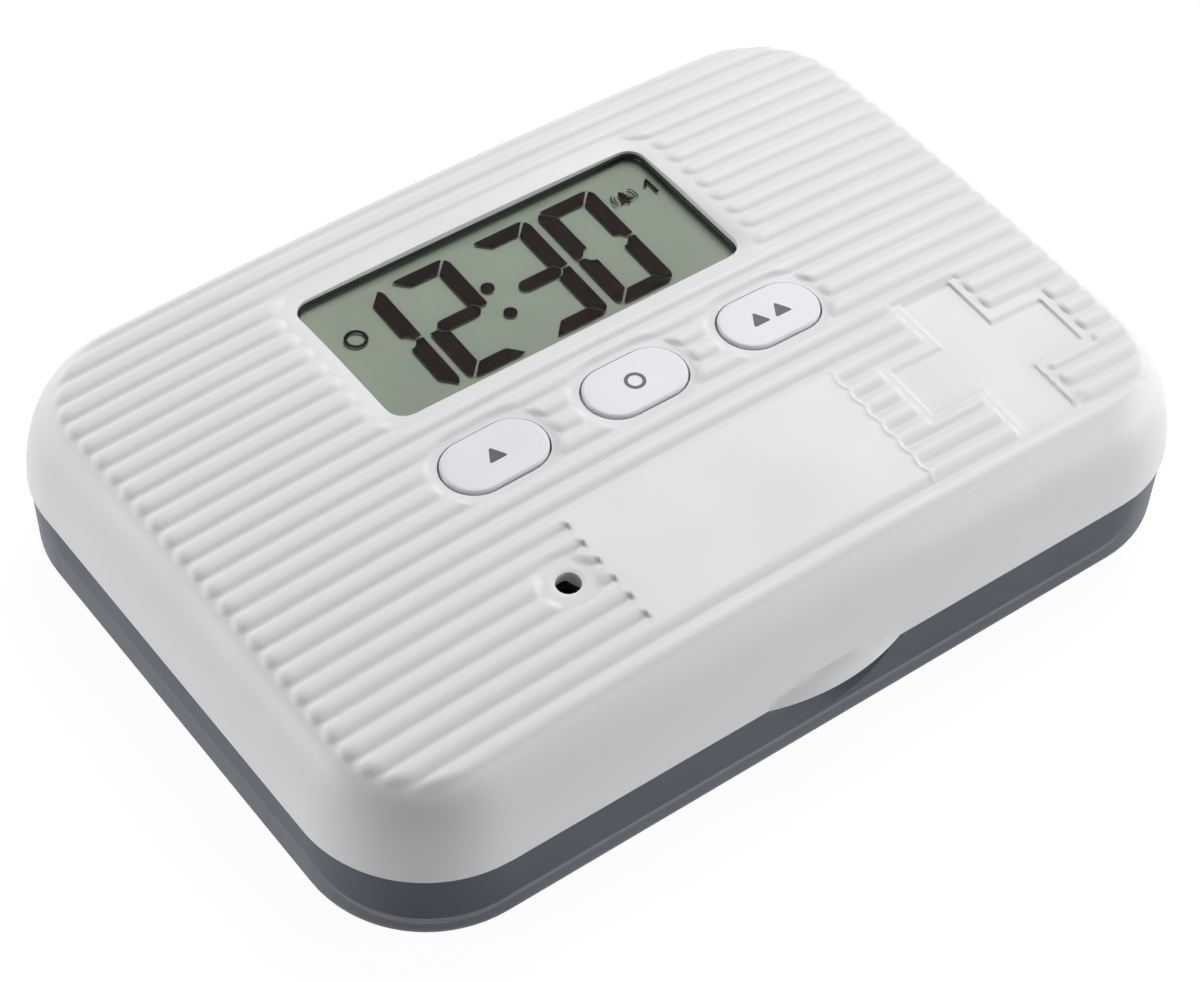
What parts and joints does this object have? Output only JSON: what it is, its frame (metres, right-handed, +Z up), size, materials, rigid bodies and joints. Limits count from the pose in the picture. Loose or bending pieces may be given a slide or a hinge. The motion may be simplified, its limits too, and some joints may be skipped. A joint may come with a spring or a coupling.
{
  "type": "pill box with alarm clock",
  "caption": "Flat hinged pill box: compartment tray under a ribbed, crowned lid with a digital alarm clock and push keys.",
  "frame": {"origin": "middle of the tray's flat underside, on the table", "axes": "+X along the box to the side with the cross, +Y towards the hinge at the back, +Z up through the closed lid"},
  "size_m": [0.12, 0.0905, 0.0259],
  "materials": {
    "smoke_plastic": "satin, smoky translucent grey",
    "white_plastic": "satin moulded white",
    "key_plastic": "satin moulded white",
    "black_plastic": "matt moulded black",
    "clear_plastic": "polished clear",
    "lcd_glass": "grey green, polished",
    "grey_rubber": "soft matt",
    "carbon_rubber": "matt black",
    "board_laminate": "green solder mask",
    "black_resin": "glossy black resin",
    "steel": "nickel plated",
    "brass": "rolled",
    "cell_jacket": "printed sleeve, plain"
  },
  "bodies": {
    "tray": {"tray": "smoke_plastic", "hinge_pins": "steel"},
    "lid": {"lid_cover": "white_plastic", "inner_cover": "white_plastic", "cover_screws": "steel", "display_bezel": "black_plastic", "display_lens": "clear_plastic", "display_panel": "lcd_glass", "display_holder": "black_plastic", "connector_strip": "grey_rubber", "circuit_board": "board_laminate", "board_screws": "steel", "key_pad": "grey_rubber", "contact_pills": "carbon_rubber", "clock_chip": "black_resin", "quartz_crystal": "steel", "buzzer_case": "black_plastic", "buzzer_disc": "brass", "battery_cell": "cell_jacket", "spring_contact": "steel", "plate_contact": "steel"},
    "hour_key": {"hour_button": "key_plastic"},
    "mode_key": {"mode_button": "key_plastic"},
    "minute_key": {"minute_button": "key_plastic"},
    "battery_door": {"battery_door": "white_plastic"}
  },
  "joints": [
    {"name": "lid_hinge", "type": "hinge", "parent": "tray", "child": "lid", "pos_m": [0, 0.0435, 0.0111], "axis": [-1, 0, 0], "range_deg": [0, 120]},
    {"name": "hour_press", "type": "slide", "parent": "lid", "child": "hour_key", "axis": [0, 0, -1], "range_m": [0, 0.0008], "stiffness_N_per_m": 1000, "springref_m": -0.0003},
    {"name": "mode_press", "type": "slide", "parent": "lid", "child": "mode_key", "axis": [0, 0, -1], "range_m": [0, 0.0008], "stiffness_N_per_m": 1000, "springref_m": -0.0003},
    {"name": "minute_press", "type": "slide", "parent": "lid", "child": "minute_key", "axis": [0, 0, -1], "range_m": [0, 0.0008], "stiffness_N_per_m": 1000, "springref_m": -0.0003},
    {"name": "battery_door_slide", "type": "slide", "parent": "lid", "child": "battery_door", "axis": [1, 0, 0], "range_m": [0, 0.003]}
  ]
}
